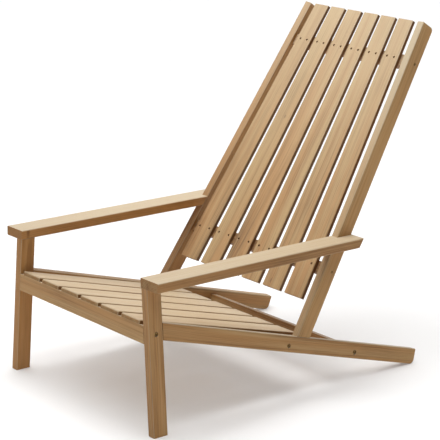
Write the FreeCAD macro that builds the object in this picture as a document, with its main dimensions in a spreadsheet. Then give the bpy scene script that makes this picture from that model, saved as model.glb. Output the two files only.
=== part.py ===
# A low slatted deck chair: two canted side frames, level armrests, a sloped seat of
# six boards and a fanned back of six boards. All lengths are millimetres. The front
# of the chair faces -Y, +X is the sitter's left and +Z is up. The left side is drawn
# and the right side is its mirror image.

import FreeCAD, Part
import os
import Sketcher
from FreeCAD import Placement, Rotation, Vector

os.makedirs("parts", exist_ok=True)
doc = FreeCAD.newDocument("slatted_deck_chair")


# Driving dimensions: name, value, meaning.
DIMENSIONS = [
    ("overall_width", 610, "outer edge to outer edge of the armrests"),
    ("cant", 5, "degrees each side frame leans inward at the top"),
    ("board", 22, "thickness of the side frame boards"),
    ("member", 40, "depth of legs, rails and stiles"),
    ("ease", 1.5, "width planed off the long arrises of the boards"),
    ("arm_top", 370, "height of the armrests"),
    ("arm_thick", 23, "thickness of the armrests"),
    ("arm_width", 65, "width of the armrests"),
    ("arm_round", 3, "rounding of the armrests' outer edges"),
    ("rail_top", 262, "height of the rail's top edge where it meets the leg"),
    ("rail_slope", 15.75, "degrees the rail falls to the rear"),
    ("rail_end", 848, "distance of the rail's rear top corner behind the front"),
    ("rail_round", 3, "rounding of the rail's rear top corner"),
    ("foot_round", 14, "rounding of the rail's rear foot"),
    ("back_start", 351, "where the line of the back's face meets the floor"),
    ("back_lean", 32.3, "degrees the back leans from upright"),
    ("back_length", 1023, "length along the back's face from the floor to the top"),
    ("stile_round", 10, "rounding of the stile's rear top corner"),
    ("seat_top", 269.6, "height of the seat boards' front edge"),
    ("seat_slope", 15, "degrees the seat falls to the rear"),
    ("seat_end", 479, "distance of the seat boards' rear end behind the front"),
    ("slat", 10, "thickness of the seat and back boards"),
    ("seat_width", 68.6, "width of one seat board"),
    ("seat_pitch", 80.6, "distance between centre lines of seat boards"),
    ("nose_round", 4, "rounding of the seat boards' front edge"),
    ("back_bottom", 267, "lower end of the back boards along the back's face"),
    ("top_width", 50.7, "width of a back board at the top"),
    ("top_pitch", 62.1, "distance between centre lines of back boards at the top"),
    ("bottom_width", 63.9, "width of a back board at the lower end"),
    ("bottom_pitch", 81.7, "distance between centre lines at the lower end"),
    ("bar_side", 30, "side of the square bars under the seat and behind the back"),
    ("upper_bar_at", 919, "centre of the upper back bar along the back's face"),
    ("lower_bar_at", 356, "centre of the lower back bar along the back's face"),
    ("crossrail_low", 216, "height of the front crossrail's lower edge"),
    ("seat_bar_y", 415.2, "distance of the under-seat bar behind the front"),
    ("stretcher", 22, "side of the square rear stretcher"),
    ("stretcher_y", 631, "distance of the rear stretcher behind the front"),
    ("stretcher_z", 71.7, "height of the rear stretcher's centre"),
    ("crossrail_bolt_y", 20.2, "distance of the crossrail's bolts behind the front"),
    ("crossrail_bolt_z", 240.4, "height of the crossrail's bolts"),
    ("bolt_radius", 3, "radius of a frame bolt"),
    ("bolt_length", 45, "length of a frame bolt under its head"),
    ("bolt_head_radius", 4.8, "radius of a frame bolt's head"),
    ("bolt_head_height", 5, "height of a frame bolt's head"),
    ("socket_radius", 2.3, "corner radius of the six-sided socket in a bolt head"),
    ("socket_depth", 3, "depth of the six-sided socket"),
    ("counterbore_radius", 5.8, "radius of the recess round a bolt head"),
    ("counterbore_depth", 7, "depth of the recess round a bolt head"),
    ("bolt_play", 0.25, "radial gap between a bolt and its hole in the wood"),
    ("nut_radius", 5, "radius of a barrel nut"),
    ("nut_length", 14, "length of a barrel nut"),
    ("nut_inset", 28, "distance of a barrel nut from the end of its bar"),
    ("screw_radius", 2.2, "radius of a frame screw"),
    ("screw_length", 50, "length of a frame screw with its head"),
    ("screw_head_radius", 3.8, "radius of a frame screw's head"),
    ("screw_head_height", 3, "height of a frame screw's head"),
    ("screw_sink", 0.8, "how far a frame screw's head lies under the stile's face"),
    ("tenon_thick", 8, "thickness of the tenons"),
    ("tenon_at", 9.5, "middle of the tenons from the side frame's inner face"),
    ("tenon_root", 5, "how far a tenon is drawn back into its own board"),
    ("rail_tenon_deep", 15, "length of the rail's tenon in the leg"),
    ("rail_tenon_wide", 30, "width of the rail's tenon"),
    ("leg_tenon_deep", 14, "length of the leg's tenon in the armrest"),
    ("leg_tenon_wide", 28, "width of the leg's tenon"),
    ("stile_tenon_deep", 20, "length of the stile's tenon in the rail"),
    ("stile_tenon_wide", 24, "width of the stile's tenon"),
    ("key_into_stile", 7, "how far the armrest's key stands in the stile"),
    ("key_into_arm", 9, "how far the armrest's key stands in the armrest"),
    ("key_wide", 18, "width of the armrest's key along the chair"),
    ("key_high", 14, "height of the armrest's key"),
    ("key_cover", 8, "height of the key's inner end under the armrest's top"),
    ("fit", 0.05, "gap at each side of screws, tenons and keys"),
    ("glue_room", 0.5, "gap left for glue past a tenon's end"),
]

# Values worked out from the driving dimensions, in the order they are needed.
DERIVED = [
    ("half_inner", "overall_width / 2 - arm_width + arm_top * tan(cant)",
     "half the clear width between the side frames at the floor"),
    ("rear_y", "back_start + (back_length - stile_round) * sin(back_lean)"
     " + (member - stile_round) * cos(back_lean) + stile_round",
     "rearmost point of the chair behind the front"),
    ("centre_y", "rear_y / 2", "middle of the chair's depth behind the front"),
    ("arm_under", "arm_top - arm_thick", "height of the armrests' underside"),
    ("rail_drop", "member / cos(rail_slope)", "upright depth of the rail"),
    ("stile_step", "member / cos(back_lean)", "level depth of the stile"),
    ("seat_drop", "slat / cos(seat_slope)", "upright thickness of a seat board"),
    ("seat_bar_z", "seat_top - seat_bar_y * tan(seat_slope)"
     " - (slat + bar_side / 2) / cos(seat_slope)", "height of the under-seat bar's centre"),
    ("foot_front_z", "(rail_top - (back_start - member) * tan(rail_slope))"
     " / (1 + tan(back_lean) * tan(rail_slope))", "height of the stile foot's front"),
    ("foot_rear_z", "(rail_top - (back_start + stile_step - member) * tan(rail_slope))"
     " / (1 + tan(back_lean) * tan(rail_slope))", "height of the stile foot's rear"),
]

sheet = doc.addObject("Spreadsheet::Sheet", "Sizes")
for row, (alias, value, meaning) in enumerate(DIMENSIONS, start=1):
    sheet.set(f"A{row}", meaning)
    sheet.set(f"B{row}", str(value))
    sheet.setAlias(f"B{row}", alias)
doc.recompute()
for row, (alias, formula, meaning) in enumerate(DERIVED, start=len(DIMENSIONS) + 1):
    sheet.set(f"A{row}", meaning)
    sheet.set(f"B{row}", "=" + formula)
    sheet.setAlias(f"B{row}", alias)
    doc.recompute()

ALIASES = {entry[0] for entry in DIMENSIONS + DERIVED}

# Tests of edges and corners: the same place, the same direction and near enough.
SAME_PLACE = 1e-9
SAME_WAY = 0.99
NEAR = 1
LONG = 100


def linked(formula):
    """Write a formula in plain aliases as one that points into the sheet."""
    words = []
    word = ""
    for letter in str(formula) + " ":
        if letter.isalnum() or letter in "_.":
            word += letter
            continue
        words.append("Sizes." + word if word in ALIASES else word)
        words.append(letter)
        word = ""
    return "".join(words).strip()


def value_of(formula):
    """The present value of a formula."""
    return float(sheet.evalExpression(linked(formula)))


def bind(thing, **formulas):
    """Bind properties of an object to formulas."""
    for name, formula in formulas.items():
        thing.setExpression(name, linked(formula))


def place(thing, x="0", y="0", z="0", axis=Vector(0, 0, 1), turn="0"):
    """Place an object by formulas; y is measured back from the chair's front."""
    thing.Placement = Placement(Vector(), Rotation(axis, 1))
    thing.setExpression("Placement.Base.x", linked(x))
    thing.setExpression("Placement.Base.y", linked(f"{y} - centre_y"))
    thing.setExpression("Placement.Base.z", linked(z))
    thing.setExpression("Placement.Rotation.Angle", linked(turn))
    return thing


def body_called(name):
    return doc.addObject("PartDesign::Body", name)


def outline(body, role, corners):
    """A closed outline on one of the body's own planes; each corner is two formulas."""
    plane = [item for item in body.Origin.OriginFeatures if item.Role == role][0]
    sketch = body.newObject("Sketcher::SketchObject", body.Name + "_outline")
    sketch.AttachmentSupport = (plane, "")
    sketch.MapMode = "FlatFace"
    points = [Vector(value_of(u), value_of(v), 0) for u, v in corners]
    count = len(points)
    for i in range(count):
        sketch.addGeometry(Part.LineSegment(points[i], points[(i + 1) % count]), False)
    for i in range(count):
        sketch.addConstraint(Sketcher.Constraint("Coincident", i, 2, (i + 1) % count, 1))
    for i, (u, v) in enumerate(corners):
        for kind, axis, formula in (("DistanceX", -2, u), ("DistanceY", -1, v)):
            size = value_of(formula)
            if abs(size) < SAME_PLACE:
                sketch.addConstraint(Sketcher.Constraint("PointOnObject", i, 1, axis))
                continue
            index = sketch.addConstraint(Sketcher.Constraint(kind, -1, 1, i, 1, size))
            sketch.setExpression(f"Constraints[{index}]", linked(formula))
    doc.recompute()
    return sketch


def extrude(body, sketch, length, backwards=False, middle=False):
    """Pad an outline; backwards turns the direction, middle pads both ways."""
    pad = body.newObject("PartDesign::Pad", body.Name + "_pad")
    pad.Profile = sketch
    pad.Reversed = backwards
    pad.Midplane = middle
    bind(pad, Length=length)
    doc.recompute()
    return pad


def cut_away(body, sketch, length, backwards=False, middle=False):
    """Pocket an outline out of the body and check that it removed wood."""
    before = body.Shape.Volume
    pocket = body.newObject("PartDesign::Pocket", body.Name + "_pocket")
    pocket.Profile = sketch
    pocket.Reversed = backwards
    pocket.Midplane = middle
    bind(pocket, Length=length)
    doc.recompute()
    if body.Shape.Volume >= before:
        raise RuntimeError(body.Name + ": the pocket removed nothing")
    return pocket


def edge_feature(body, kind, wanted):
    """A fillet or chamfer on the edges of the last feature that pass the test."""
    tip = body.Tip
    names = []
    for number, edge in enumerate(tip.Shape.Edges, start=1):
        if wanted(edge, edge.CenterOfMass):
            names.append(f"Edge{number}")
    feature = body.newObject("PartDesign::" + kind, f"{body.Name}_{kind}")
    feature.Base = (tip, names)
    return feature


def round_edges(body, radius, wanted):
    bind(edge_feature(body, "Fillet", wanted), Radius=radius)
    doc.recompute()


def ease_edges(body, wanted):
    """Plane off long arrises; rounded corners that follow them are planed with them."""
    bind(edge_feature(body, "Chamfer", lambda edge, middle:
                      edge.Length > LONG and wanted(middle)), Size="ease")
    doc.recompute()


def lean(body):
    """Set a left side body into its canted plane."""
    return place(body, x="half_inner", axis=Vector(0, -1, 0), turn="cant")


def side_point(y, z):
    """A point of a side outline: height is measured upright, the outline is canted."""
    return (y, f"({z}) / cos(cant)")


def along_x(edge):
    return abs(edge.tangentAt(edge.FirstParameter).x) > SAME_WAY


def along_y(edge):
    return abs(edge.tangentAt(edge.FirstParameter).y) > SAME_WAY


# The four boards of a side frame.

def make_leg():
    body = body_called("left_leg_blank")
    section = outline(body, "XZ_Plane", [
        ("0", "0"),
        ("board", "-board * tan(cant)"),
        ("board", "(arm_under - board * sin(cant)) / cos(cant)"),
        ("0", "arm_under / cos(cant)"),
    ])
    extrude(body, section, "member", backwards=True)
    ease_edges(body, lambda middle: True)
    return lean(body)


def make_rail():
    body = body_called("left_rail_blank")
    end_z = "rail_top - (rail_end - member) * tan(rail_slope)"
    side = outline(body, "YZ_Plane", [
        side_point("member", "rail_top"),
        side_point("rail_end", end_z),
        side_point("rail_end - member * sin(rail_slope)",
                   end_z + " - member * cos(rail_slope)"),
        side_point("member", "rail_top - rail_drop"),
    ])
    extrude(body, side, "board")
    low_end = value_of(end_z) / 2
    round_edges(body, "foot_round", lambda edge, middle:
                along_x(edge) and middle.z < 0)
    round_edges(body, "rail_round", lambda edge, middle:
                along_x(edge) and middle.y > value_of("rail_end") - NEAR
                and middle.z > low_end)
    ease_edges(body, lambda middle: True)
    floor = outline(body, "XZ_Plane", [
        ("0", "0"),
        ("board", "-board * tan(cant)"),
        ("board", "-member"),
        ("0", "-member"),
    ])
    cut_away(body, floor, "rail_end + member")
    return lean(body)


def make_stile(name, eased=True):
    """The stile, or with its arrises left sharp the notch for it in the armrest."""
    body = body_called(name)
    top_y = "back_start + back_length * sin(back_lean)"
    top_z = "back_length * cos(back_lean)"
    side = outline(body, "YZ_Plane", [
        side_point("back_start + foot_front_z * tan(back_lean)", "foot_front_z"),
        side_point("back_start + stile_step + foot_rear_z * tan(back_lean)",
                   "foot_rear_z"),
        side_point(top_y + " + member * cos(back_lean)",
                   top_z + " - member * sin(back_lean)"),
        side_point(top_y, top_z),
    ])
    extrude(body, side, "board")
    rear_edge = value_of(top_y + " + member * cos(back_lean)")
    round_edges(body, "stile_round", lambda edge, middle:
                along_x(edge) and middle.y > rear_edge - NEAR)
    if eased:
        ease_edges(body, lambda middle: True)
    return lean(body)


def make_armrest():
    """A level board whose inner edge follows the cant; its rear is cut round the stile."""
    body = body_called("left_armrest_blank")
    outer = "overall_width / 2 - half_inner"
    section = outline(body, "XZ_Plane", [
        ("-arm_under * tan(cant)", "arm_under"),
        (outer, "arm_under"),
        (outer, "arm_top"),
        ("-arm_top * tan(cant)", "arm_top"),
    ])
    rear = "back_start + stile_step + {0} * tan(back_lean)"
    extrude(body, section, rear.format("arm_top"), backwards=True)
    outer_x = value_of(outer)
    round_edges(body, "arm_round", lambda edge, middle:
                along_y(edge) and middle.x > outer_x - NEAR)
    ease_edges(body, lambda middle: middle.x < 0)
    behind = outline(body, "YZ_Plane", [
        (rear.format("(arm_under - arm_thick)"), "arm_under - arm_thick"),
        (rear.format("(arm_top + arm_thick)"), "arm_top + arm_thick"),
        (rear.format("(arm_top + arm_thick)"), "arm_under - arm_thick"),
    ])
    cut_away(body, behind, "2 * overall_width", middle=True)
    return place(body, x="half_inner")


# Pieces between the side frames. Each is made longer than needed and trimmed to the
# space between the canted frames, so that its ends meet them squarely.

def make_space_between():
    body = body_called("space_between_frames")
    section = outline(body, "XZ_Plane", [
        ("-half_inner", "0"),
        ("half_inner", "0"),
        ("half_inner - back_length * tan(cant)", "back_length"),
        ("-half_inner + back_length * tan(cant)", "back_length"),
    ])
    extrude(body, section, "rear_y", backwards=True)
    return place(body)


def trimmed(body, space):
    piece = doc.addObject("Part::Common", body.Name.replace("_blank", "_trimmed"))
    piece.Base = body
    piece.Tool = space
    doc.recompute()
    return piece


def make_crossrail():
    body = body_called("front_crossrail_blank")
    top = "seat_top - seat_drop"
    side = outline(body, "YZ_Plane", [
        ("0", "crossrail_low"),
        ("bar_side", "crossrail_low"),
        ("bar_side", top + " - bar_side * tan(seat_slope)"),
        ("0", top),
    ])
    extrude(body, side, "overall_width", middle=True)
    return place(body)


def make_square_bar(name, side, y, z, turn):
    """A square bar across the chair, turned about its own length."""
    body = body_called(name + "_blank")
    section = outline(body, "YZ_Plane", [
        (f"-{side} / 2", f"-{side} / 2"),
        (f"{side} / 2", f"-{side} / 2"),
        (f"{side} / 2", f"{side} / 2"),
        (f"-{side} / 2", f"{side} / 2"),
    ])
    extrude(body, section, "overall_width", middle=True)
    return place(body, y=y, z=z, axis=Vector(-1, 0, 0), turn=turn)


def on_back(along, deep):
    """Formulas of a point in the back: along its face and deep behind it."""
    y = f"back_start + ({along}) * sin(back_lean) + ({deep}) * cos(back_lean)"
    z = f"({along}) * cos(back_lean) - ({deep}) * sin(back_lean)"
    return y, z


def make_seat_slat(number, step):
    body = body_called(f"seat_slat_{number}")
    end_z = "seat_top - seat_end * tan(seat_slope)"
    side = outline(body, "YZ_Plane", [
        ("0", "seat_top"),
        ("0", "seat_top - seat_drop"),
        ("seat_end - slat * sin(seat_slope)", end_z + " - slat * cos(seat_slope)"),
        ("seat_end", end_z),
    ])
    extrude(body, side, "seat_width", middle=True)
    front_edge = value_of("seat_top")
    round_edges(body, "nose_round", lambda edge, middle:
                along_x(edge) and middle.z > front_edge - NEAR)
    top_middle = value_of("seat_top - seat_end / 2 * tan(seat_slope)")
    ease_edges(body, lambda middle: middle.z > top_middle - NEAR)
    return place(body, x=f"{step} * seat_pitch")


def make_back_slat(number, step):
    """One board of the back; it is narrower and closer to its neighbours at the top."""
    body = body_called(f"back_slat_{number}")
    face = outline(body, "XZ_Plane", [
        (f"{step} * bottom_pitch - bottom_width / 2", "back_bottom"),
        (f"{step} * bottom_pitch + bottom_width / 2", "back_bottom"),
        (f"{step} * top_pitch + top_width / 2", "back_length"),
        (f"{step} * top_pitch - top_width / 2", "back_length"),
    ])
    extrude(body, face, "slat", backwards=True)
    ease_edges(body, lambda middle: middle.y < NEAR)
    return place(body, y="back_start", axis=Vector(-1, 0, 0), turn="back_lean")


# Fasteners and the holes for them.

def rod(name, radius, length, start="0"):
    """A cylinder along its own Z axis from the start height."""
    cylinder = doc.addObject("Part::Cylinder", name)
    bind(cylinder, Radius=radius, Height=length)
    cylinder.setExpression("Placement.Base.z", linked(start))
    return cylinder


def joined(name, kind, base, tool):
    result = doc.addObject("Part::" + kind, name)
    result.Base = base
    result.Tool = tool
    doc.recompute()
    return result


def group(name, members):
    result = doc.addObject("Part::Compound", name)
    result.Links = members
    doc.recompute()
    return result


def mirror(name, source):
    """The mirror image of an object on the other side of the chair."""
    image = doc.addObject("Part::Mirroring", name)
    image.Source = source
    image.Normal = Vector(1, 0, 0)
    doc.recompute()
    return image


def copy_at(name, source, x, y, z, axis, turn):
    """A linked copy of an object, placed by formulas."""
    link = doc.addObject("App::Link", name)
    link.LinkedObject = source
    link.LinkTransform = False
    return place(link, x, y, z, axis, turn)


def outer_face(z):
    """Formula of the left frame's outer face at a height."""
    return f"(half_inner - ({z}) * tan(cant) + board / cos(cant))"


def inner_face(z):
    return f"(half_inner - ({z}) * tan(cant))"


def make_bolt():
    """A bolt pointing down, with the top of its head at the origin."""
    head = rod("bolt_head", "bolt_head_radius", "bolt_head_height", "-bolt_head_height")
    shank = rod("bolt_shank", "bolt_radius", "bolt_length + bolt_head_height",
                "-bolt_length - bolt_head_height")
    solid = joined("bolt_solid", "Fuse", head, shank)
    socket = doc.addObject("Part::Prism", "bolt_socket")
    socket.Polygon = 6
    bind(socket, Circumradius="socket_radius", Height="socket_depth")
    socket.setExpression("Placement.Base.z", linked("-socket_depth"))
    return joined("bolt_master", "Cut", solid, socket)


def make_bolt_drill():
    """The hole and recess for a bolt; its origin is on the wood's outer face."""
    hole = rod("bolt_hole", "bolt_radius + bolt_play",
               "board / cos(cant) + nut_inset + bolt_head_height",
               "-board / cos(cant) - nut_inset")
    recess = rod("bolt_recess", "counterbore_radius", "2 * counterbore_depth",
                 "-counterbore_depth")
    return joined("bolt_drill", "Fuse", hole, recess)


def make_nut():
    """A barrel nut along Z; its blind thread hole opens towards the side frame."""
    barrel = rod("nut_barrel", "nut_radius", "nut_length", "-nut_length / 2")
    thread = rod("nut_thread", "bolt_radius + fit", "2 * nut_radius")
    thread.Placement = Placement(Vector(), Rotation(Vector(0, 1, 0), 90))
    thread.setExpression("Placement.Base.x", linked("-nut_radius / 2"))
    return joined("nut_master", "Cut", barrel, thread)


def make_nut_drill():
    """The hole for a barrel nut, open on its lower side."""
    hole = rod("nut_hole", "nut_radius + fit", "nut_length / 2 + bar_side + 2 * fit",
               "-bar_side")
    return group("nut_drill", [hole])


def make_screw():
    """A screw with a flat round head, pointing down, its head's top at the origin."""
    head = rod("screw_head", "screw_head_radius", "screw_head_height",
               "-screw_head_height")
    shank = rod("screw_shank", "screw_radius", "screw_length", "-screw_length")
    return joined("screw_master", "Fuse", head, shank)


def make_screw_drill():
    """The hole and flat-bottomed recess for a screw."""
    recess = rod("screw_recess", "screw_head_radius + fit", "2 * screw_head_height",
                 "-screw_head_height")
    hole = rod("screw_hole", "screw_radius + fit", "screw_length", "-screw_length - fit")
    return joined("screw_drill", "Fuse", recess, hole)


# Where the fasteners sit on the left side: distance behind the front and height.

UPPER_SCREW = on_back("upper_bar_at", "member - bar_side / 2")
LOWER_SCREW = on_back("lower_bar_at", "member - bar_side / 2")
BOLT_PLACES = {
    "crossrail": ("crossrail_bolt_y", "crossrail_bolt_z"),
    "seat_bar": ("seat_bar_y", "seat_bar_z"),
    "stretcher": ("stretcher_y", "stretcher_z"),
}
SCREW_PLACES = {"upper": UPPER_SCREW, "lower": LOWER_SCREW}
NUT_TURNS = {
    "crossrail": (Vector(1, 0, 0), "90"),
    "seat_bar": (Vector(-1, 0, 0), "seat_slope"),
    "stretcher": (Vector(-1, 0, 0), "rail_slope"),
}
ACROSS = Vector(0, 1, 0)
QUARTER = "90"
BOLT_SINK = "counterbore_depth - bolt_head_height"


def across_copies(prefix, source, places, sink):
    """Copies of a fastener driven in from the left frame's outer face."""
    copies = {}
    for key, (y, z) in places.items():
        copies[key] = copy_at(f"{prefix}_{key}", source, f"{outer_face(z)} - ({sink})",
                              y, z, ACROSS, QUARTER)
    return copies


def nut_copies(prefix, source):
    copies = {}
    for key, (y, z) in BOLT_PLACES.items():
        axis, turn = NUT_TURNS[key]
        copies[key] = copy_at(f"{prefix}_{key}", source, f"{inner_face(z)} - nut_inset",
                              y, z, axis, turn)
    return copies


# Mortise and tenon joints. A tenon is a block in the side frame's own plane that is
# fused with its board; the mortise is the same block with some room round it.

RAIL_MIDDLE = "(rail_top - rail_drop / 2)"
FOOT_MIDDLE_Z = "((foot_front_z + foot_rear_z) / 2)"
FOOT_MIDDLE_Y = f"(back_start + stile_step / 2 + {FOOT_MIDDLE_Z} * tan(back_lean))"
TENONS = {
    "rail": ("member", RAIL_MIDDLE, "90"),
    "leg": ("member / 2", "arm_under", "0"),
    "stile": (FOOT_MIDDLE_Y, FOOT_MIDDLE_Z, "180 - rail_slope"),
}


def tenon(board, play="0", room="0"):
    """The tenon on the end of a board, or with play and room its mortise."""
    y, z, turn = TENONS[board]
    kind = "mortise" if play != "0" else "tenon"
    wide = f"{board}_tenon_wide / 2 + {play}"
    thick = f"tenon_thick / 2 + {play}"
    block = doc.addObject("Part::Box", f"{board}_{kind}_block")
    bind(block, Length=f"2 * ({thick})", Width=f"2 * ({wide})",
         Height=f"tenon_root + {board}_tenon_deep + {room}")
    block.setExpression("Placement.Base.x", linked(f"-({thick})"))
    block.setExpression("Placement.Base.y", linked(f"-({wide})"))
    block.setExpression("Placement.Base.z", linked("-tenon_root"))
    turned = group(f"{board}_{kind}_turned", [block])
    turned.Placement = Placement(Vector(), Rotation(Vector(1, 0, 0), 1))
    turned.setExpression("Placement.Base.x", linked("tenon_at"))
    turned.setExpression("Placement.Base.y", linked(y))
    turned.setExpression("Placement.Base.z", linked(f"{z} / cos(cant)"))
    turned.setExpression("Placement.Rotation.Angle", linked(turn))
    return lean(group(f"{board}_{kind}", [turned]))


def mortise(board):
    return tenon(board, "fit", "glue_room")


def with_tenon(board, blank):
    """A board fused with its tenon."""
    return joined(f"left_{board}_whole", "Fuse", blank, tenon(board))


# The armrest is notched round the stile and held there by a loose key: a wooden block
# in the stile's outer face, over which the armrest comes down as over the leg's tenon.

ARM_MIDDLE = "((arm_under + arm_top) / 2)"
KEY_Y = f"(back_start + stile_step / 2 + {ARM_MIDDLE} * tan(back_lean))"


def make_key(name, play="0", below="0"):
    """The key; with play it is its slot, which below extends to the armrest's underside."""
    block = doc.addObject("Part::Box", name + "_block")
    bind(block, Length=f"key_into_stile + key_into_arm + 2 * {play}",
         Width=f"key_wide + 2 * {play}", Height=f"key_high + {below} + {play}")
    block.setExpression("Placement.Base.x", linked(f"board - key_into_stile - {play}"))
    block.setExpression("Placement.Base.y", linked(f"{KEY_Y} - key_wide / 2 - {play}"))
    block.setExpression("Placement.Base.z", linked(
        f"(arm_top - key_cover) / cos(cant) - key_high - {below}"))
    return lean(group(name, [block]))


finished = {}


def finish(name, thing):
    """Give a finished piece its label and put it on the list for export."""
    thing.Label = name
    finished[name] = thing
    return thing


def drilled(name, blank, drills):
    """Drill a blank with every given tool."""
    tools = group(name + "_drills", drills)
    return joined(name, "Cut", blank, tools)


def both_sides(name, blank, drills):
    """A drilled side piece on the left and its mirror image on the right."""
    left = drilled("left_" + name, blank, drills)
    finish("left_" + name, left)
    finish("right_" + name, mirror("right_" + name, left))


def both_ends(name, blank, drills):
    """A crosspiece drilled alike at both ends."""
    left = group(name + "_left_drills", drills)
    finish(name, drilled(name, blank, [left, mirror(name + "_right_drills", left)]))


bolt_drills = across_copies("bolt_drill", make_bolt_drill(), BOLT_PLACES, "0")
screw_drills = across_copies("screw_drill", make_screw_drill(), SCREW_PLACES,
                             "screw_sink")
nut_drills = nut_copies("nut_drill", make_nut_drill())

both_sides("leg", with_tenon("leg", make_leg()), [mortise("rail"),
                                                  bolt_drills["crossrail"]])
both_sides("rail", with_tenon("rail", make_rail()), [mortise("stile"),
                                                     bolt_drills["seat_bar"],
                                                     bolt_drills["stretcher"]])
both_sides("stile", with_tenon("stile", make_stile("left_stile_blank")), [
    make_key("stile_key_slot", "fit"), *screw_drills.values()])
both_sides("armrest", make_armrest(), [
    make_stile("stile_notch", eased=False), mortise("leg"),
    make_key("arm_key_slot", "fit", "arm_thick")])

space = make_space_between()
both_ends("front_crossrail", trimmed(make_crossrail(), space),
          [bolt_drills["crossrail"], nut_drills["crossrail"]])
both_ends("under_seat_bar",
          trimmed(make_square_bar("under_seat_bar", "bar_side", "seat_bar_y", "seat_bar_z",
                                  "seat_slope"), space),
          [bolt_drills["seat_bar"], nut_drills["seat_bar"]])
both_ends("rear_stretcher",
          trimmed(make_square_bar("rear_stretcher", "stretcher", "stretcher_y",
                                  "stretcher_z", "rail_slope"), space),
          [bolt_drills["stretcher"], nut_drills["stretcher"]])
for level, (bar_y, bar_z) in SCREW_PLACES.items():
    both_ends(level + "_back_bar",
              trimmed(make_square_bar(level + "_back_bar", "bar_side", bar_y, bar_z,
                                      "back_lean"), space),
              [screw_drills[level]])

SLATS = 6
for number in range(1, SLATS + 1):
    step = (SLATS + 1) / 2 - number
    finish(f"seat_slat_{number}", make_seat_slat(number, step))
    finish(f"back_slat_{number}", make_back_slat(number, step))

bolts = across_copies("bolt", make_bolt(), BOLT_PLACES, BOLT_SINK)
screws = across_copies("screw", make_screw(), SCREW_PLACES, "screw_sink")
for name, copies in (("frame_bolts", list(bolts.values())),
                     ("barrel_nuts", list(nut_copies("nut", make_nut()).values())),
                     ("frame_screws", list(screws.values())),
                     ("arm_keys", [make_key("key")])):
    left = group("left_" + name, copies)
    finish(name, group(name, [left, mirror("right_" + name, left)]))

doc.recompute()
for thing in doc.Objects:
    if "Invalid" in thing.State or "Error" in thing.State:
        raise RuntimeError(f"{thing.Name}: {thing.State}")
for name, thing in finished.items():
    shape = thing.Shape
    if shape.isNull() or not shape.isValid():
        raise RuntimeError(name + ": the shape is not valid")
    shape.exportStep(f"parts/{name}.step")
    box = shape.BoundBox
    print(f"{name}: {len(shape.Solids)} solids, {shape.Volume / 1000:.1f} cm3, "
          f"x {box.XMin:.1f} {box.XMax:.1f}, y {box.YMin:.1f} {box.YMax:.1f}, "
          f"z {box.ZMin:.1f} {box.ZMax:.1f}")
print(len(finished), "nodes")
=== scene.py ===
# %% [markdown]
# # A low slatted lounge chair in oiled hardwood
#
# The chair is two canted side frames with boards between them. Its real size and every
# joint come from the construction model, which is loaded first and never changed. This
# lesson adds what the eye sees: soft arrises, wood with its own grain on every board,
# sunk screws, bolts in their recesses, a floor, soft light and a camera.

# %% Load the construction
import math

import bmesh
import bpy
from mathutils import Matrix, Vector


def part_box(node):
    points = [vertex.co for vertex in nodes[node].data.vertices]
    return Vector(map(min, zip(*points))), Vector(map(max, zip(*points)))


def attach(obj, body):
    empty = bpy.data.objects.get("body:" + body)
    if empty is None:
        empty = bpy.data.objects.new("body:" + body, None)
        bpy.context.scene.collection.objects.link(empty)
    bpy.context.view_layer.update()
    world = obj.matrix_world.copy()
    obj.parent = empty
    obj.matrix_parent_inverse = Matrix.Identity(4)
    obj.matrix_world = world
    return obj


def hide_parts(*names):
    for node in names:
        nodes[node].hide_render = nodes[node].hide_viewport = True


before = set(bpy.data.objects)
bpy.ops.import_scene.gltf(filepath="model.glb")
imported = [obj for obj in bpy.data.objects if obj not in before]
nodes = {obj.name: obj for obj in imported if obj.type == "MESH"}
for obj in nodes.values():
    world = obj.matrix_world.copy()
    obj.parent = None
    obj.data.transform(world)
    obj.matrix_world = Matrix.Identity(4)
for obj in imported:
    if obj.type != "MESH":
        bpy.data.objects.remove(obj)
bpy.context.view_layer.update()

# %% [markdown]
# ## The camera
#
# The chair was photographed with a long lens from in front of its left side, a little
# above the armrests. A long lens keeps far edges nearly parallel to near ones, so the
# camera stands over four metres away. Its direction is built from an azimuth, an
# elevation and a slight roll, because these three angles can be read off a picture.

# %% Camera
SENSOR_MM = 36
FOCAL_SHARE = 3.9388
CAMERA_PLACE = Vector((3.2008, -2.7015, 1.5108))
AZIMUTH = math.radians(50.2)
ELEVATION = math.radians(15.16)
ROLL = math.radians(0.93)


def camera_turn(azimuth, elevation, roll):
    """The turn of a camera that looks level along +Y when all three angles are 0."""
    ahead = Vector((-math.sin(azimuth) * math.cos(elevation),
                    math.cos(azimuth) * math.cos(elevation),
                    -math.sin(elevation)))
    right = ahead.cross(Vector((0, 0, 1))).normalized()
    above = right.cross(ahead)
    side = math.cos(roll) * right + math.sin(roll) * above
    top = math.cos(roll) * above - math.sin(roll) * right
    return Matrix((side, top, -ahead)).transposed()


camera_data = bpy.data.cameras.new("camera")
camera_data.sensor_width = SENSOR_MM
camera_data.lens = FOCAL_SHARE * SENSOR_MM
camera = bpy.data.objects.new("camera", camera_data)
camera.matrix_world = (Matrix.Translation(CAMERA_PLACE)
                       @ camera_turn(AZIMUTH, ELEVATION, ROLL).to_4x4())
bpy.context.scene.collection.objects.link(camera)
bpy.context.scene.camera = camera
print("lens", round(camera_data.lens, 1), "mm")

# %% [markdown]
# ## Maths on sockets
#
# A wood grain is a formula: rings round a pith, bent by noise. Written as a Python
# expression it can be read, so this small class lets Python's operators add the Math
# nodes. Every other node comes from one method that takes its type, its settings and
# what goes into its sockets. The sky is made with the same tools as the wood.


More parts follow.
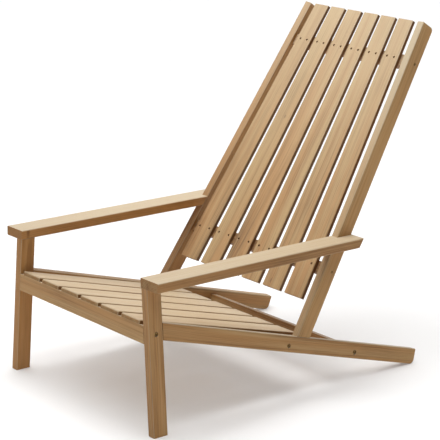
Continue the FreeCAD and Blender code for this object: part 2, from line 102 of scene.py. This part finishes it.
# %% Socket maths
class Value:
    """One output socket, on which Python's operators can be used."""

    def __init__(self, recipe, socket):
        self.recipe = recipe
        self.socket = socket

    def maths(self, operation, *values):
        return self.recipe.node("ShaderNodeMath", {"operation": operation},
                                dict(enumerate(values)))

    def __add__(self, other):
        return self.maths("ADD", self, other)

    def __radd__(self, other):
        return self.maths("ADD", other, self)

    def __sub__(self, other):
        return self.maths("SUBTRACT", self, other)

    def __rsub__(self, other):
        return self.maths("SUBTRACT", other, self)

    def __mul__(self, other):
        return self.maths("MULTIPLY", self, other)

    def __rmul__(self, other):
        return self.maths("MULTIPLY", other, self)

    def __truediv__(self, other):
        return self.maths("DIVIDE", self, other)

    def __pow__(self, other):
        return self.maths("POWER", self, other)

    def fraction(self):
        return self.maths("FRACT", self)

    def magnitude(self):
        return self.maths("ABSOLUTE", self)

    def larger(self, other):
        return self.maths("MAXIMUM", self, other)

    def ramp(self, low, high):
        """0 below low, 1 above high and a smooth rise between them."""
        return self.recipe.node(
            "ShaderNodeMapRange", {"interpolation_type": "SMOOTHSTEP"},
            {"Value": self, "From Min": low, "From Max": high})


class Recipe:
    """A material or a sky whose nodes are added one by one."""

    def __init__(self, owner):
        owner.use_nodes = True
        self.tree = owner.node_tree

    def node(self, kind, settings=None, inputs=None, output=0):
        """Add a node; return one of its outputs."""
        node = self.tree.nodes.new(kind)
        for key, value in (settings or {}).items():
            setattr(node, key, value)
        for key, value in (inputs or {}).items():
            self.feed(node.inputs[key], value)
        return Value(self, node.outputs[output])

    def feed(self, socket, value):
        if isinstance(value, Value):
            self.tree.links.new(value.socket, socket)
        else:
            socket.default_value = value

    def mix(self, share, first, second):
        """A colour between two colours."""
        return self.node("ShaderNodeMix", {"data_type": "RGBA"},
                         {0: share, 6: first, 7: second}, output=2)

    def dot(self, vector, axis):
        return self.node("ShaderNodeVectorMath", {"operation": "DOT_PRODUCT"},
                         {0: vector, 1: axis}, output="Value")

    def split(self, vector):
        """The three numbers of a vector."""
        return [self.node("ShaderNodeSeparateXYZ", None, {0: vector}, output=i)
                for i in range(3)]

    def join(self, x, y, z):
        return self.node("ShaderNodeCombineXYZ", None, {0: x, 1: y, 2: z})

    def noise(self, vector, scale=1.0, detail=2.0, roughness=0.5):
        """Soft random values round 0, about 0.2 either way."""
        return self.node("ShaderNodeTexNoise", None,
                         {"Vector": vector, "Scale": scale, "Detail": detail,
                          "Roughness": roughness}) - 0.5

    def shade(self, colour, roughness, metallic=0.0, gloss=0.5, bump=None, depth=0.0):
        """Connect the results to the surface shader; gloss is one number."""
        shader = self.tree.nodes["Principled BSDF"]
        shader.inputs["Specular IOR Level"].default_value = gloss
        self.feed(shader.inputs["Base Color"], colour)
        self.feed(shader.inputs["Roughness"], roughness)
        self.feed(shader.inputs["Metallic"], metallic)
        if bump is not None:
            normal = self.node("ShaderNodeBump", None,
                               {"Height": bump, "Distance": depth})
            self.feed(shader.inputs["Normal"], normal)


print("node tools are ready")

# %% [markdown]
# ## Floor and light
#
# The picture is a catalogue photograph: white all round, with a large soft light above
# and only what the floor sends back on the near side. A lamp alone would leave the
# distant floor grey, so most of the light is a sky that is bright overhead, bright
# behind the chair where the white backdrop stands, and nearly dark on the near side.
# What is seen of it past the floor is plain white from any side. One soft lamp above
# the chair lifts the upper end of the back.

# %% Floor
FLOOR_HALF = 30
FLOOR_PALE = (0.72, 0.72, 0.72, 1)
FLOOR_GLOW = 0.2
floor_mesh = bpy.data.meshes.new("studio_floor")
sheet = bmesh.new()
bmesh.ops.create_grid(sheet, x_segments=1, y_segments=1, size=FLOOR_HALF)
sheet.to_mesh(floor_mesh)
sheet.free()
floor = bpy.data.objects.new("studio_floor", floor_mesh)
paint = bpy.data.materials.new("studio_paint")
Recipe(paint).shade(FLOOR_PALE, 0.9)
floor_shader = paint.node_tree.nodes["Principled BSDF"]
floor_shader.inputs["Emission Color"].default_value = (1, 1, 1, 1)
floor_shader.inputs["Emission Strength"].default_value = FLOOR_GLOW
floor.data.materials.append(paint)
bpy.context.scene.collection.objects.link(floor)
print("floor", 2 * FLOOR_HALF, "m wide")

# %% Sky
ALL_ROUND = 0.06
OVERHEAD = 2.7
OVERHEAD_FROM = Vector((-0.05, -0.03, 1)).normalized()
BACKDROP = 1.1
BACKDROP_FROM = Vector((-0.75, 0.62, 0.2)).normalized()
sky = bpy.data.worlds.new("studio_sky")
sky_recipe = Recipe(sky)
direction = sky_recipe.node("ShaderNodeTexCoord", output="Generated")
overhead = sky_recipe.dot(direction, OVERHEAD_FROM).ramp(0.6, 1.0)
backdrop = sky_recipe.dot(direction, BACKDROP_FROM).ramp(0.55, 1.0)
lobes = ALL_ROUND + overhead * OVERHEAD + backdrop * BACKDROP
seen = sky_recipe.node("ShaderNodeLightPath", output="Is Camera Ray")
background = sky.node_tree.nodes["Background"]
background.inputs["Color"].default_value = (1, 1, 1, 1)
sky_recipe.feed(background.inputs["Strength"], lobes * (1 - seen) + seen)
bpy.context.scene.world = sky
bpy.context.scene.view_settings.view_transform = "Standard"
print("the sky is brightest overhead")


# %% Lamp
def soft_lamp(name, place, target, size, power):
    """A square area lamp that faces a target."""
    data = bpy.data.lights.new(name, "AREA")
    data.size = size
    data.energy = power
    lamp = bpy.data.objects.new(name, data)
    lamp.location = place
    aim = Vector(target) - Vector(place)
    lamp.rotation_euler = aim.to_track_quat("-Z", "Y").to_euler()
    bpy.context.scene.collection.objects.link(lamp)
    return lamp


UPPER_BACK = (0, 0.45, 0.85)
soft_lamp("overhead_softbox", (-0.2, -0.15, 1.8), UPPER_BACK, 0.9, 13)
print("one soft lamp")

# %% [markdown]
# ## Boards with soft arrises
#
# The construction planes a narrow flat off each long arris. Hands and sandpaper round
# what the plane leaves, so every board here is a copy of its node on which the edges of
# those flats are bevelled once more. A node's mesh is loose triangles: the copy is
# merged and its flat triangles are dissolved first, so that an edge is one edge. The
# rims of drilled holes are made of short edges, which tells them from arrises.

# %% Soft arrises
FLAT = math.radians(1)
MERGE = 1e-6
ARRIS_ANGLE = math.radians(30)
ARRIS_SHORTEST = 0.006
ARRIS_SOFT = 0.0005
NARROW = 0.0045


def merged_copy(node):
    """The node's shape as a clean bmesh with one polygon for each flat face."""
    shape = bmesh.new()
    shape.from_mesh(nodes[node].data)
    bmesh.ops.remove_doubles(shape, verts=shape.verts, dist=MERGE)
    bmesh.ops.dissolve_limit(shape, angle_limit=FLAT, verts=shape.verts,
                             edges=shape.edges)
    return shape


def is_arris(edge):
    return (edge.is_manifold and edge.is_convex
            and edge.calc_face_angle() > ARRIS_ANGLE
            and edge.calc_length() > ARRIS_SHORTEST)


def soften(shape):
    """Round the arrises a little and shade only narrow faces smooth."""
    bmesh.ops.bevel(shape, geom=[edge for edge in shape.edges if is_arris(edge)],
                    offset=ARRIS_SOFT, offset_type="OFFSET", segments=2, profile=0.5,
                    affect="EDGES", clamp_overlap=True, material=-1)
    for face in shape.faces:
        longest = max(edge.calc_length() for edge in face.edges)
        face.smooth = face.calc_area() / longest < NARROW


METAL_NODES = ("frame_bolts", "barrel_nuts", "frame_screws")
BOARDS = [name for name in sorted(nodes) if name not in METAL_NODES + ("arm_keys",)]
shapes = {}
for name in BOARDS:
    shapes[name] = merged_copy(name)
    soften(shapes[name])
print(len(shapes), "boards have soft arrises")

# %% [markdown]
# ## Sunk holes
#
# Every slat is screwed to two bars: the back's slats from the front, the seat's from
# below through the bars, where nobody sees or feels the heads. A hole could be cut with
# a Boolean, but it is a small round opening in a flat face, so the face is taken away
# and filled again between its rim and the hole's outline. The outline is then extruded
# inwards step by step, which also gives the rim its countersink.


# %% Cutting hollows into a flat face
SAME_WAY = 0.9999
SAME_PLANE = 1e-4
ROUND = 16


def flat_region(shape, direction, place=None):
    """The faces that look in a direction, in one plane with a place or the largest."""
    looking = [face for face in shape.faces if face.normal.dot(direction) > SAME_WAY]
    if place is None:
        largest = max(looking, key=lambda face: face.calc_area())
        place = largest.calc_center_median()
    return [face for face in looking
            if abs((face.calc_center_median() - place).dot(direction)) < SAME_PLANE]


def outline(shape, place, direction, corners, radius, stretch=(1, 1), turn=0.0):
    """A closed line of edges round a place, square to a direction."""
    aim = direction.to_track_quat("Z", "Y").to_matrix().to_4x4()
    size = Matrix.Diagonal((*stretch, 1, 1))
    spun = Matrix.Rotation(turn, 4, "Z")
    made = bmesh.ops.create_circle(shape, cap_ends=False, segments=corners,
                                   radius=radius,
                                   matrix=Matrix.Translation(place) @ aim @ size @ spun)
    return list({edge for vert in made["verts"] for edge in vert.link_edges})


def sink(shape, faces, outlines, steps):
    """Cut hollows with these outlines into flat faces. A step is (depth, scale)."""
    normal = faces[0].normal.copy()
    rim = {edge for face in faces for edge in face.edges}
    bmesh.ops.delete(shape, geom=faces, context="FACES_KEEP_BOUNDARY")
    rim = [edge for edge in rim if edge.is_valid]
    bmesh.ops.triangle_fill(shape, use_beauty=True, use_dissolve=False, normal=normal,
                            edges=rim + [edge for line in outlines for edge in line])
    for line in outlines:
        edges = line
        for depth, scale in steps:
            made = bmesh.ops.extrude_edge_only(shape, edges=edges)["geom"]
            verts = [item for item in made if isinstance(item, bmesh.types.BMVert)]
            edges = [item for item in made if isinstance(item, bmesh.types.BMEdge)
                     and set(item.verts) <= set(verts)]
            middle = sum((vert.co for vert in verts), Vector()) / len(verts)
            bmesh.ops.scale(shape, vec=(scale, scale, scale), verts=verts,
                            space=Matrix.Translation(-middle))
            bmesh.ops.translate(shape, vec=-depth * normal, verts=verts)
        bmesh.ops.contextual_create(shape, geom=edges)
    bmesh.ops.recalc_face_normals(shape, faces=shape.faces)


print("hollow tools are ready")

# %% [markdown]
# ## Where the screws go
#
# In the back each slat has two rows of two screws, at the heights of the bars behind it.
# The slats fan out from a narrow top to a wide foot, so their middles are worked out
# from the distance between them at both ends. In the seat the slats lie parallel and
# their screws come up from below, through a deep counterbore in the thick front board
# and a shallow one in the bar, with the same short screw in both.

# %% Screws in the back
BACK_LEAN = math.radians(32.3)
BACK_FOOT = Vector((0, -0.11283, 0))
UP_THE_BACK = Vector((0, math.sin(BACK_LEAN), math.cos(BACK_LEAN)))
FRONT_OF_BACK = Vector((0, -math.cos(BACK_LEAN), math.sin(BACK_LEAN)))
SLAT_COUNT = 6
LOW_END, HIGH_END = 0.267, 1.023
LOW_PITCH, HIGH_PITCH = 0.0817, 0.0621
BACK_ROWS = ((0.357, 0.0192), (0.919, 0.0125))
HOLE_RADIUS = 0.0033
HOLE_STEPS = ((0.0004, 0.92), (0.0028, 1.0))
HEAD_PROUD = 0.0001


def back_screw_places(number):
    """The four places on the front of one slat of the back."""
    step = (SLAT_COUNT + 1) / 2 - number
    for height, aside in BACK_ROWS:
        share = (height - LOW_END) / (HIGH_END - LOW_END)
        middle = step * (LOW_PITCH + share * (HIGH_PITCH - LOW_PITCH))
        for x in (middle - aside, middle + aside):
            yield BACK_FOOT + height * UP_THE_BACK + Vector((x, 0, 0))


screw_places = []
hole_depth = sum(depth for depth, scale in HOLE_STEPS)
for number in range(1, SLAT_COUNT + 1):
    shape = shapes[f"back_slat_{number}"]
    places = list(back_screw_places(number))
    lines = [outline(shape, place, FRONT_OF_BACK, ROUND, HOLE_RADIUS)
             for place in places]
    sink(shape, flat_region(shape, FRONT_OF_BACK), lines, HOLE_STEPS)
    screw_places += [(place, FRONT_OF_BACK, hole_depth - HEAD_PROUD)
                     for place in places]
print(len(screw_places), "screw holes in the back")

# %% Counterbores under the seat
SEAT_PITCH = 0.0806
SEAT_ASIDE = 0.019
BORE_RADIUS = 0.0045
BORE_LIP, BORE_LIP_SCALE = 0.0004, 0.93
STRAIGHT_DOWN = Vector((0, 0, -1))
SEAT_DOWN = Vector((0, -0.2588, -0.9659))
SEAT_BARS = (("front_crossrail", Vector((0, -0.4488, 0.216)), STRAIGHT_DOWN, 0.022),
             ("under_seat_bar", Vector((0, -0.0525, 0.11795)), SEAT_DOWN, 0.009))
for bar, middle, down, depth in SEAT_BARS:
    places = [middle + Vector((step * SEAT_PITCH + side * SEAT_ASIDE, 0, 0))
              for step in (-2.5, -1.5, -0.5, 0.5, 1.5, 2.5) for side in (-1, 1)]
    lines = [outline(shapes[bar], place, down, ROUND, BORE_RADIUS) for place in places]
    sink(shapes[bar], flat_region(shapes[bar], down), lines,
         ((BORE_LIP, BORE_LIP_SCALE), (depth - BORE_LIP, 1.0)))
    screw_places += [(place, down, depth - HEAD_PROUD) for place in places]
print(len(screw_places), "screws are needed")

# %% [markdown]
# ## The pieces and their places
#
# A finished piece is an object at the origin with its place in its mesh. It rides on
# the chair's one rigid body, and it stands for the construction's node, which is kept
# for the physics but hidden.


# %% Board objects
def piece_from(name, shape, slot, *replaced):
    """Make an object of a bmesh; it rides on the chair. The slot is not used."""
    mesh = bpy.data.meshes.new(name)
    shape.to_mesh(mesh)
    shape.free()
    piece = bpy.data.objects.new(name, mesh)
    bpy.context.scene.collection.objects.link(piece)
    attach(piece, "root")
    if replaced:
        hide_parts(*replaced)
    return piece


boards = {name: piece_from(name + "_soft", shapes[name], "teak", name)
          for name in BOARDS}
print(len(boards), "boards replace their nodes")

# %% [markdown]
# ## Screws
#
# A countersunk screw is a round shape, so its profile is drawn once and spun. The cross
# recess is sunk with the same tool as the holes: a twelve-cornered outline becomes a
# plus sign when every third corner is drawn towards the middle. Each screw is turned by
# another angle, as screws are when they are driven home.

# %% One slat screw
SCREW_PROFILE = ((0.0025, 0), (0.0025, -0.0003), (0.0014, -0.0016), (0.0013, -0.022),
                 (0.0007, -0.026), (0, -0.0275))
CROSS_STEPS = ((0.0006, 0.8), (0.0005, 0.6))
CROSS_RADIUS = 0.0017
CROSS_TURN = math.radians(15)
DRAWN_IN = 0.4


def cross_outline(shape, place, direction, radius):
    """The outline of a cross recess: the corners on the diagonals are drawn in."""
    line = outline(shape, place, direction, 12, radius, turn=CROSS_TURN)
    corners = list({vert for edge in line for vert in edge.verts})
    level = direction.to_track_quat("Z", "Y").inverted()
    drawn_in = []
    for vert in corners:
        x, y, _ = level @ (vert.co - place)
        if abs(abs(x) - abs(y)) < 0.01 * radius:
            drawn_in.append(vert)
    bmesh.ops.scale(shape, vec=(DRAWN_IN, DRAWN_IN, DRAWN_IN), verts=drawn_in,
                    space=Matrix.Translation(-place))
    return line


def screw_mesh():
    """A screw that points down, the middle of its head's top at the origin."""
    shape = bmesh.new()
    verts = [shape.verts.new((radius, 0, z)) for radius, z in SCREW_PROFILE]
    edges = [shape.edges.new(pair) for pair in zip(verts, verts[1:])]
    bmesh.ops.spin(shape, geom=verts + edges, cent=(0, 0, 0), axis=(0, 0, 1),
                   angle=math.tau, steps=ROUND, use_merge=True, use_duplicate=False)
    bmesh.ops.remove_doubles(shape, verts=shape.verts, dist=MERGE)
    rim = [edge for edge in shape.edges if edge.is_boundary]
    top = bmesh.ops.contextual_create(shape, geom=rim)["faces"]
    bmesh.ops.recalc_face_normals(shape, faces=shape.faces)
    line = cross_outline(shape, Vector(), Vector((0, 0, 1)), CROSS_RADIUS)
    sink(shape, top, [line], CROSS_STEPS)
    mesh = bpy.data.meshes.new("slat_screw")
    shape.to_mesh(mesh)
    shape.free()
    return mesh


one_screw = screw_mesh()
print("a slat screw has", len(one_screw.polygons), "faces")

# %% All slat screws
TURN_EACH = 0.7
screws = bmesh.new()
for number, (place, outward, depth) in enumerate(screw_places):
    start = len(screws.verts)
    screws.from_mesh(one_screw)
    screws.verts.ensure_lookup_table()
    aim = outward.to_track_quat("Z", "Y").to_matrix().to_4x4()
    spun = Matrix.Rotation(number * TURN_EACH, 4, "Z")
    bmesh.ops.transform(screws, verts=screws.verts[start:],
                        matrix=Matrix.Translation(place - depth * outward) @ aim @ spun)
slat_screws = piece_from("slat_screws", screws, "dull_brass")
print("all slat screws:", len(slat_screws.data.polygons), "faces")

# %% [markdown]
# ## Bolts, nuts and frame screws
#
# Turned metal has a fine bevel on its rims that catches the light. The copies of the
# metal nodes get it on every sharp outer edge. A barrel nut is held with a screwdriver
# while the bolt is tightened, so its end has a slot, and the frame screws get a cross.
# Flat ends stay crisp and round sides are shaded smooth: each edge sharper than 35
# degrees is marked as an edge.

# %% Metal copies
SHARP = math.radians(35)
METAL_BEVEL = 0.00035
SCREW_HEADS = ((0.2269, 0.3994, 0.7634), (0.2685, 0.0985, 0.2876))
STRETCHER_DOWN = Vector((0, -0.2714, -0.9625))
NUT_ENDS = (Vector((0, 1, 0)), SEAT_DOWN, STRETCHER_DOWN)


def bevel_rims(shape):
    """Bevel the sharp outer edges of a metal piece."""
    rims = [edge for edge in shape.edges if edge.is_manifold and edge.is_convex
            and edge.calc_face_angle() > SHARP]
    bmesh.ops.bevel(shape, geom=rims, offset=METAL_BEVEL, offset_type="OFFSET",
                    segments=2, profile=0.5, affect="EDGES", clamp_overlap=True,
                    material=-1)


def shade_by_angle(shape):
    """Smooth shading with the sharp edges kept."""
    for face in shape.faces:
        face.smooth = True
    for edge in shape.edges:
        edge.smooth = edge.is_manifold and edge.calc_face_angle() < SHARP


metal_shapes = {name: merged_copy(name) for name in METAL_NODES}
for shape in metal_shapes.values():
    bevel_rims(shape)
print("metal rims are bevelled")

# %% Slots and crosses
SLOT_SIDES = (0.0066, 0.0012)
SLOT_STEPS = ((0.0012, 0.9),)
UNIT_SQUARE_RADIUS = math.sqrt(0.5)
UPRIGHT_SQUARE = math.radians(45)
FRAME_CROSS_RADIUS = 0.0024
nuts = metal_shapes["barrel_nuts"]
for end in NUT_ENDS:
    faces = flat_region(nuts, end)
    lines = [outline(nuts, face.calc_center_median(), end, 4, UNIT_SQUARE_RADIUS,
                     SLOT_SIDES, UPRIGHT_SQUARE) for face in faces]
    sink(nuts, faces, lines, SLOT_STEPS)
frame_screws = metal_shapes["frame_screws"]
for side in (1, -1):
    for head in SCREW_HEADS:
        place = Vector((side * head[0], *head[1:]))
        out = Vector((side, 0, 0))
        line = cross_outline(frame_screws, place, out, FRAME_CROSS_RADIUS)
        sink(frame_screws, flat_region(frame_screws, out, place), [line], CROSS_STEPS)
metals = {}
for name, shape in metal_shapes.items():
    shade_by_angle(shape)
    metals[name] = piece_from(name + "_turned", shape, "dull_brass", name)
print(len(metals), "metal nodes are replaced")

# %% [markdown]
# ## Which way a board's grain runs
#
# Wood is sawn so that its fibres run along the board, so each board needs its own
# direction. It can be typed in by hand, or measured from the board. Here the longest
# edge of the merged copy is the board's length and the largest face is its broad side.


# %% Board axes
def board_axes(node):
    """Along the grain, across the board and out of its broad face, with its middle."""
    shape = merged_copy(node)
    longest = max(shape.edges, key=lambda edge: edge.calc_length())
    along = (longest.verts[1].co - longest.verts[0].co).normalized()
    broad = max(shape.faces, key=lambda face: face.calc_area())
    out = broad.normal.copy()
    out = (out - out.dot(along) * along).normalized()
    low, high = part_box(node)
    shape.free()
    return along, out.cross(along), out, (low + high) / 2


print("left rail runs along", [round(v, 3) for v in board_axes("left_rail")[0]])

# %% [markdown]
# ## The wood
#
# The chair is a golden brown hardwood with fine straight grain. A growth ring is a
# cylinder round the tree's pith, so its distance from a far-off pith line gives long
# parallel bands on the faces and arcs on the end grain without any extra work. Fibres
# and streaks are noise stretched along the board. Faces that look up are painted paler
# and greyer than the sides, and more so high on the chair: this is painted light for
# the soft light from above. The rounded arrises get a painted highlight. The narrow
# sides are darker, partly from the oil that sawn wood drinks and partly as painted
# shade for the gaps between boards. End grain drinks more oil and is darker. A knot
# pushes the rings aside, so it is made by adding to the distance near its place.

# %% Wood material
TAN = (0.49, 0.31, 0.135, 1)
HONEY = (0.45, 0.225, 0.075, 1)
UMBER = (0.13, 0.055, 0.018, 1)
# A pale grey that is painted light: laid over faces that look up, and over the rounded
# arrises as a painted highlight.
PAINTED_LIGHT_PALE = (0.45, 0.36, 0.24, 1)
RING_SPACING = 0.0045
RING_EDGE = 0.92
PITH_ASIDE, PITH_BELOW = 0.11, 0.055
KNOT_OVAL = 2.2


def wood(name, axes, seed, tone=0.0, warm=0.1, edge=0.1, figure=0.6, painted_light_share=1.0,
         knots=()):
    """Wood for one board, all of whose numbers are shares of a colour or a pattern.

    Tone darkens the board, warm reddens it and figure is how lively its streaks are. The
    edge share is painted shade on its narrow sides and the light share is painted light
    on its faces that look up.
    """
    along, across, out, middle = axes
    turn = Matrix((along, across, out)).transposed()
    material = bpy.data.materials.new(name)
    recipe = Recipe(material)
    place = recipe.node("ShaderNodeTexCoord", output="Object")
    local = recipe.node("ShaderNodeMapping", {"vector_type": "TEXTURE"},
                        {"Vector": place, "Location": middle,
                         "Rotation": turn.to_euler()})
    u, v, w = recipe.split(local)

    # A knot is an oval, longer along the board than across it.
    knot = 0.0
    for knot_place, size in knots:
        at = turn.transposed() @ (knot_place - middle)
        long_way, short_way = (u - at.x) / (KNOT_OVAL * size), (v - at.y) / size
        apart = (long_way ** 2 + short_way ** 2) ** 0.5
        knot = 1 - apart.ramp(0.15, 1.0) + knot

    # Growth rings darken slowly and end sharply.
    run = u + seed * 3.7
    sway = recipe.noise(recipe.join(run * 1.6, v * 3 + seed, w * 3))
    side = v + sway * 0.05 + PITH_ASIDE * math.sin(seed * 2.3)
    below = w + sway * 0.02 + PITH_BELOW + knot * 0.006
    radius = (side * side + below * below) ** 0.5
    uneven = recipe.noise(recipe.join(run * 0.8, radius * 60, seed), 1.0, 1.0)
    ring = (radius / RING_SPACING + uneven * 4 + 9).fraction()
    late = ring.ramp(0.2, RING_EDGE) * (1 - ring.ramp(RING_EDGE, 1.0))

    # Four noises stretched along the board, from the finest fibres to broad clouds.
    fibre = recipe.noise(recipe.join(run * 20, v * 700 + seed, w * 700), 1.0, 3.0, 0.6)
    streak = recipe.noise(recipe.join(run * 2.4, v * 85, w * 85 + seed), 1.0, 3.0, 0.6)
    toast = recipe.noise(recipe.join(run * 1.3, v * 38 - seed, w * 38), 1.0, 2.0, 0.55)
    cloud = recipe.noise(recipe.join(run * 4, v * 11, w * 11 + seed), 1.0, 2.0)

    # The way a face looks tells rounded arrises, ends, narrow sides and upward faces
    # apart.
    # The arrises get a painted highlight, the narrow sides painted shade and the upward
    # faces painted light.
    normal = recipe.node("ShaderNodeTexCoord", output="Normal")
    facing = [recipe.dot(normal, axis).magnitude() for axis in (along, across, out)]
    square = facing[0].larger(facing[1]).larger(facing[2])
    # Painted highlight: faces that look between the board's axes are the rounded
    # arrises.
    painted_arris_highlight = 1 - square.ramp(0.78, 0.985)
    end = facing[0].ramp(0.75, 0.9)
    # Painted shade on the narrow sides, partly also the oil that sawn wood drinks.
    painted_side_shade = facing[1].ramp(0.75, 0.95) * edge
    # Painted light: faces that look up, and more so those high on the chair, get the
    # pale grey.
    painted_top_light = recipe.split(normal)[2].ramp(0.3, 0.97)
    painted_light_up_high = recipe.split(place)[2].ramp(0.35, 1.0)

    # Each step lays one more colour over the body of the wood.
    grain = (late - 0.4) * 0.3 + streak * 2.2 * figure + fibre * 0.9 + cloud + tone
    body = recipe.mix((toast * 4 * figure + warm + 0.25).ramp(0.0, 1.0), TAN, HONEY)
    body = recipe.mix((grain + knot * 0.7).ramp(-0.4, 1.1), body, UMBER)
    # Painted light on faces that look up, stronger higher up the chair.
    body = recipe.mix(painted_top_light * (0.9 + painted_light_up_high * 1.65 - grain * 0.45) * painted_light_share, body, PAINTED_LIGHT_PALE)
    # Painted highlight on the rounded arrises.
    body = recipe.mix(painted_arris_highlight * 0.5, body, PAINTED_LIGHT_PALE)
    # Painted shade on the narrow sides, partly also darker oiled sawn wood.
    body = recipe.mix(painted_side_shade, body, UMBER)
    colour = recipe.mix(end * 0.35, body, UMBER)
    roughness = 0.58 + fibre * 0.25 + end * 0.15 + streak * 0.1
    recipe.shade(colour, roughness, gloss=0.3, bump=fibre + late * 0.3, depth=0.00025)
    return material


def dress(thing, material):
    """Give every material slot of a piece the same finish."""
    thing.data.materials.clear()
    thing.data.materials.append(material)


print("the wood recipe is ready")

# %% [markdown]
# ## Each board's own wood
#
# No two boards of a real chair come from the same place in a tree, and one wood for all
# looks like plastic. Each board gets its own seed, and a few numbers where its tone was
# seen to differ: the far side frame is warmer, the near stile is lighter and gets more
# painted light, and the bars behind the slats are darkened as painted shade for the
# shade they stand in. Three small knots lie where the eye looks.

# %% Boards get their wood
# In this table some boards get more painted light on their upward faces than others, and
# some less painted shade on their narrow sides.
CHARACTER = {
    "right_leg": {"tone": -0.15, "warm": 0.9}, "right_stile": {"warm": 0.6},
    "right_armrest": {"tone": -0.2, "warm": 0.9, "edge": 0.0},
    "right_rail": {"warm": 0.4, "painted_light_share": 0.5},
    "left_armrest": {"tone": 0.05, "warm": 0.3, "edge": 0.2},
    "left_leg": {"warm": 0.15}, "left_rail": {"warm": 0.3},
    # The near stile gets extra painted light on its faces and a lighter tone.
    "left_stile": {"tone": -0.2, "warm": 0.3, "edge": 0.0, "figure": 0.35, "painted_light_share": 1.7},
    "front_crossrail": {"tone": -0.15, "figure": 0.4},
    "rear_stretcher": {"warm": 0.3, "painted_light_share": 0.6},
    # The bars behind the slats are darkened as painted shade, for the shade behind the
    # slats.
    "upper_back_bar": {"tone": 0.35, "warm": 0.7},
    "lower_back_bar": {"tone": 0.35, "warm": 0.7},
}
# The slats get strong painted shade on their narrow sides, for the shade in the gaps
# between them.
BACK_TONES = ((-0.12, 0.15), (0.0, 0.05), (-0.06, 0.2), (0.02, 0.25), (-0.08, 0.0),
              (0.06, 0.25))
for number, (tone, warm) in enumerate(BACK_TONES, start=1):
    CHARACTER[f"back_slat_{number}"] = {"tone": tone, "warm": warm, "edge": 0.85,
                                        "figure": 0.9}
    CHARACTER[f"seat_slat_{number}"] = {"tone": -0.08 + tone * 0.5, "edge": 0.6,
                                        "painted_light_share": 0.8}
KNOTS = {
    "back_slat_2": [(Vector((0.1136, 0.039, 0.2402)), 0.004)],
    "back_slat_5": [(Vector((-0.098, 0.262, 0.593)), 0.004)],
    "right_armrest": [(Vector((-0.24, -0.4449, 0.3571)), 0.0035)],
}
for seed, (name, board) in enumerate(boards.items(), start=1):
    dress(board, wood("wood_" + name, board_axes(name), seed,
                      **CHARACTER.get(name, {}), knots=KNOTS.get(name, ())))
dress(nodes["arm_keys"], wood("key_wood", board_axes("arm_keys"), len(boards) + 1))
print(len(boards), "boards have their own wood")

# %% [markdown]
# ## Brass
#
# Bolts, nuts and screws are brass that has stood outdoors and gone dull and brown. A
# little noise in the colour and the roughness keeps them from looking new.

# %% Brass material
BRASS_WORN = (0.46, 0.29, 0.11, 1)
BRASS_BROWN = (0.09, 0.05, 0.024, 1)


def dull_brass():
    material = bpy.data.materials.new("dull_brass")
    recipe = Recipe(material)
    place = recipe.node("ShaderNodeTexCoord", output="Object")
    wear = recipe.noise(place, 260.0, 4.0, 0.6)
    colour = recipe.mix(wear.ramp(-0.2, 0.2), BRASS_WORN, BRASS_BROWN)
    recipe.shade(colour, 0.5 + wear * 0.3, 0.9, bump=wear, depth=0.0001)
    return material


brass = dull_brass()
for piece in (*metals.values(), slat_screws):
    dress(piece, brass)
print("fasteners are brass")

# %% Finish
print("the chair is dressed")
